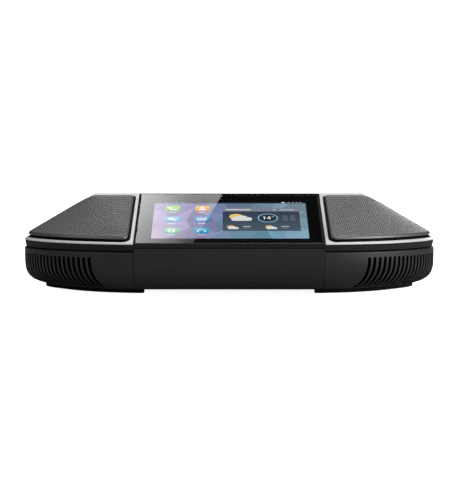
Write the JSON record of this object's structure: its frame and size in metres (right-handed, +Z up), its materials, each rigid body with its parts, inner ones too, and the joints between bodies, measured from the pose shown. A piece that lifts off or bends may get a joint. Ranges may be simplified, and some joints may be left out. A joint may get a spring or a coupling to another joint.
{
  "type": "desk ip phone",
  "caption": "Low table-top IP conference phone with a tilted colour touchscreen between two metal loudspeaker grilles, a vented bowl-shaped base and arc-shaped rubber feet.",
  "frame": {"origin": "centre of the plan, on the table plane that the feet rest on", "axes": "+Z up; the screen and the user's side face -Y, so the sockets face +Y; +X to the right as the user sees the phone from the front"},
  "size_m": [0.2628, 0.2, 0.0595],
  "materials": {
    "shell_black": "fine satin black moulding",
    "fascia_black": "satin black moulding",
    "trim_silver": "satin silver paint",
    "grille_grey": "perforated sheet with dark grey satin paint",
    "cloth_black": "open black acoustic cloth",
    "glass_black": "polished cover glass with black printing behind it",
    "display": "lit colour display behind a polariser",
    "foam_black": "closed-cell foam",
    "rubber_black": "soft matte rubber",
    "steel": "plated steel",
    "board_green": "green solder mask on glass laminate",
    "jack_black": "black moulding",
    "ferrite": "dark sintered ferrite",
    "cone_black": "coated paper cone",
    "cable_amber": "polyimide film"
  },
  "bodies": {
    "housing": {"board_screw_1": "steel", "board_screw_2": "steel", "board_screw_3": "steel", "board_screw_4": "steel", "case_screw_1": "steel", "case_screw_2": "steel", "case_screw_3": "steel", "case_screw_4": "steel", "case_screw_5": "steel", "case_screw_6": "steel", "display_bracket": "steel", "display_module": "display", "display_ribbon": "cable_amber", "ethernet_jack": "steel", "expansion_jack": "steel", "foot_front_left": "rubber_black", "foot_front_right": "rubber_black", "foot_rear_left": "rubber_black", "foot_rear_right": "rubber_black", "front_fascia": "fascia_black", "glass_adhesive": "foam_black", "grille_cloth_left": "cloth_black", "grille_cloth_right": "cloth_black", "grille_left": "grille_grey", "grille_right": "grille_grey", "lower_shell": "shell_black", "main_board": "board_green", "microphone_boot_front": "rubber_black", "microphone_boot_left": "rubber_black", "microphone_boot_right": "rubber_black", "microphone_front": "steel", "microphone_left": "steel", "microphone_right": "steel", "network_transformer": "ferrite", "port_panel": "shell_black", "power_jack": "jack_black", "processor_shield": "steel", "reset_switch": "jack_black", "speaker_basket_left": "steel", "speaker_basket_right": "steel", "speaker_box_left": "shell_black", "speaker_box_right": "shell_black", "speaker_gasket_left": "foam_black", "speaker_gasket_right": "foam_black", "speaker_magnet_left": "ferrite", "speaker_magnet_right": "ferrite", "speaker_surround_left": "rubber_black", "speaker_surround_right": "rubber_black", "touch_glass": "glass_black", "trim_left": "trim_silver", "trim_right": "trim_silver", "upper_shell": "shell_black", "usb_port": "steel", "wifi_antenna_left": "board_green", "wifi_antenna_right": "board_green"},
    "cone_left": {"speaker_cone_left": "cone_black"},
    "cone_right": {"speaker_cone_right": "cone_black"},
    "reset": {"reset_button": "jack_black"}
  },
  "joints": [
    {"name": "left_cone_excursion", "type": "slide", "parent": "housing", "child": "cone_left", "axis": [0, 0, 1], "range_m": [-0.0015, 0.0015], "stiffness_N_per_m": 400},
    {"name": "right_cone_excursion", "type": "slide", "parent": "housing", "child": "cone_right", "axis": [0, 0, 1], "range_m": [-0.0015, 0.0015], "stiffness_N_per_m": 400},
    {"name": "reset_press", "type": "slide", "parent": "housing", "child": "reset", "axis": [0, -1, 0], "range_m": [0, 0.0005], "stiffness_N_per_m": 1000}
  ]
}
